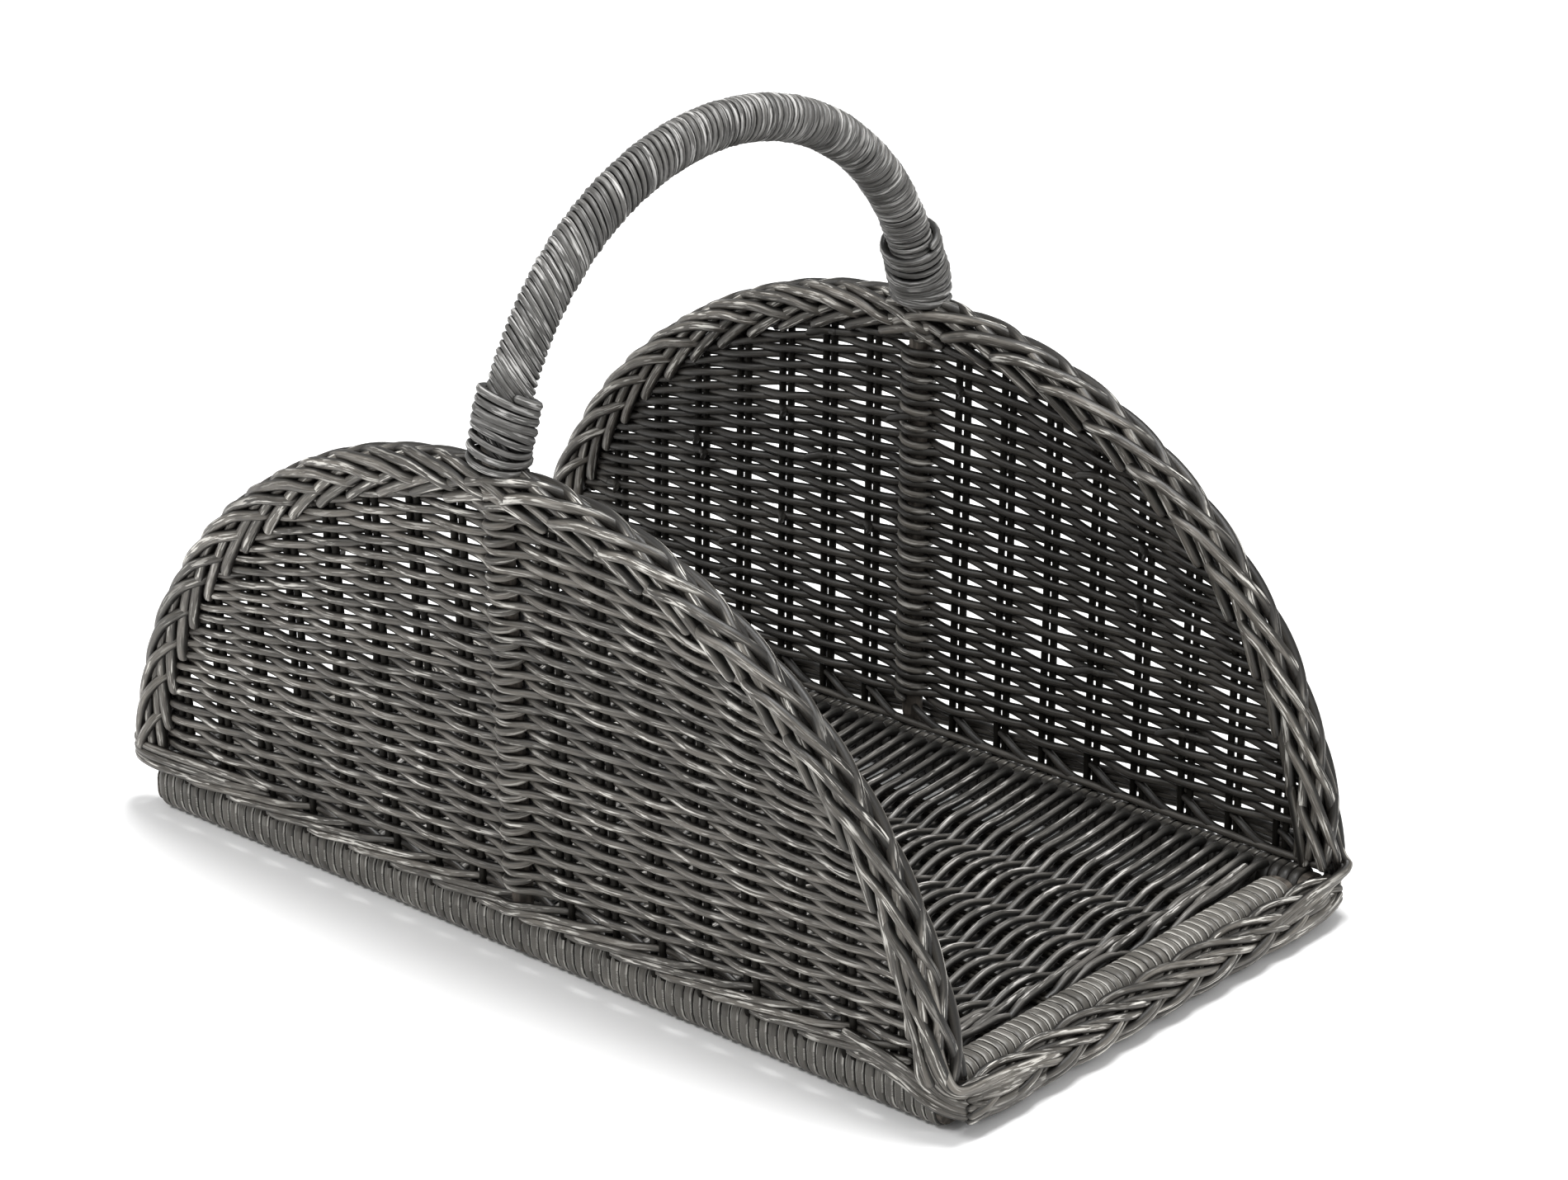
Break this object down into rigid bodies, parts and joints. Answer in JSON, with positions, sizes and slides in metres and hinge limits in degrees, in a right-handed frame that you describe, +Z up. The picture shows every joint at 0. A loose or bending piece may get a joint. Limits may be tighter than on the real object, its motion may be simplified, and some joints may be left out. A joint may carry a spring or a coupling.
{
  "type": "wicker log basket",
  "caption": "Open-ended log basket: woven floor on a wrapped rail frame, two arched woven side panels with plaited borders and a bent carrying handle.",
  "frame": {"origin": "on the ground under the middle of the basket", "axes": "+X along the basket from the back end to the front end, +Y from the near panel to the far panel, +Z up"},
  "size_m": [0.6314, 0.375, 0.4439],
  "materials": {
    "stained_willow": "willow rod in a dark grey-brown stain, dry-brushed with off-white along the crests",
    "handle_willow": "the same stain, cooler and lighter, on the wound handle rod",
    "rail_cane": "flat cane in the same stain, off-white along its edges",
    "bare_rail_wood": "bare wood, hidden inside the wrapping"
  },
  "bodies": {
    "root": {"near_long_rail": "bare_rail_wood", "near_rail_wrap": "rail_cane", "near_foot_wale": "stained_willow", "near_panel_weave": "stained_willow", "near_stakes_01": "stained_willow", "near_stakes_02": "stained_willow", "near_stakes_03": "stained_willow", "near_stakes_04": "stained_willow", "near_stakes_05": "stained_willow", "near_stakes_06": "stained_willow", "near_stakes_07": "stained_willow", "near_stakes_08": "stained_willow", "near_stakes_09": "stained_willow", "near_stakes_10": "stained_willow", "near_stakes_11": "stained_willow", "near_stakes_12": "stained_willow", "near_stakes_13": "stained_willow", "near_stakes_14": "stained_willow", "near_stakes_15": "stained_willow", "near_stakes_16": "stained_willow", "near_border": "stained_willow", "near_collar": "handle_willow", "far_long_rail": "bare_rail_wood", "far_rail_wrap": "rail_cane", "far_foot_wale": "stained_willow", "far_panel_weave": "stained_willow", "far_stakes_01": "stained_willow", "far_stakes_02": "stained_willow", "far_stakes_03": "stained_willow", "far_stakes_04": "stained_willow", "far_stakes_05": "stained_willow", "far_stakes_06": "stained_willow", "far_stakes_07": "stained_willow", "far_stakes_08": "stained_willow", "far_stakes_09": "stained_willow", "far_stakes_10": "stained_willow", "far_stakes_11": "stained_willow", "far_stakes_12": "stained_willow", "far_stakes_13": "stained_willow", "far_stakes_14": "stained_willow", "far_stakes_15": "stained_willow", "far_stakes_16": "stained_willow", "far_border": "stained_willow", "far_collar": "handle_willow", "back_end_rail": "bare_rail_wood", "back_rail_wrap": "rail_cane", "back_edge_plait": "stained_willow", "front_end_rail": "bare_rail_wood", "front_rail_wrap": "rail_cane", "front_edge_plait": "stained_willow", "floor_weave": "stained_willow", "floor_stakes_1": "stained_willow", "floor_stakes_2": "stained_willow", "floor_stakes_3": "stained_willow", "floor_stakes_4": "stained_willow", "floor_stakes_5": "stained_willow", "handle_rod": "bare_rail_wood", "handle_wrap": "handle_willow"}
  },
  "joints": []
}
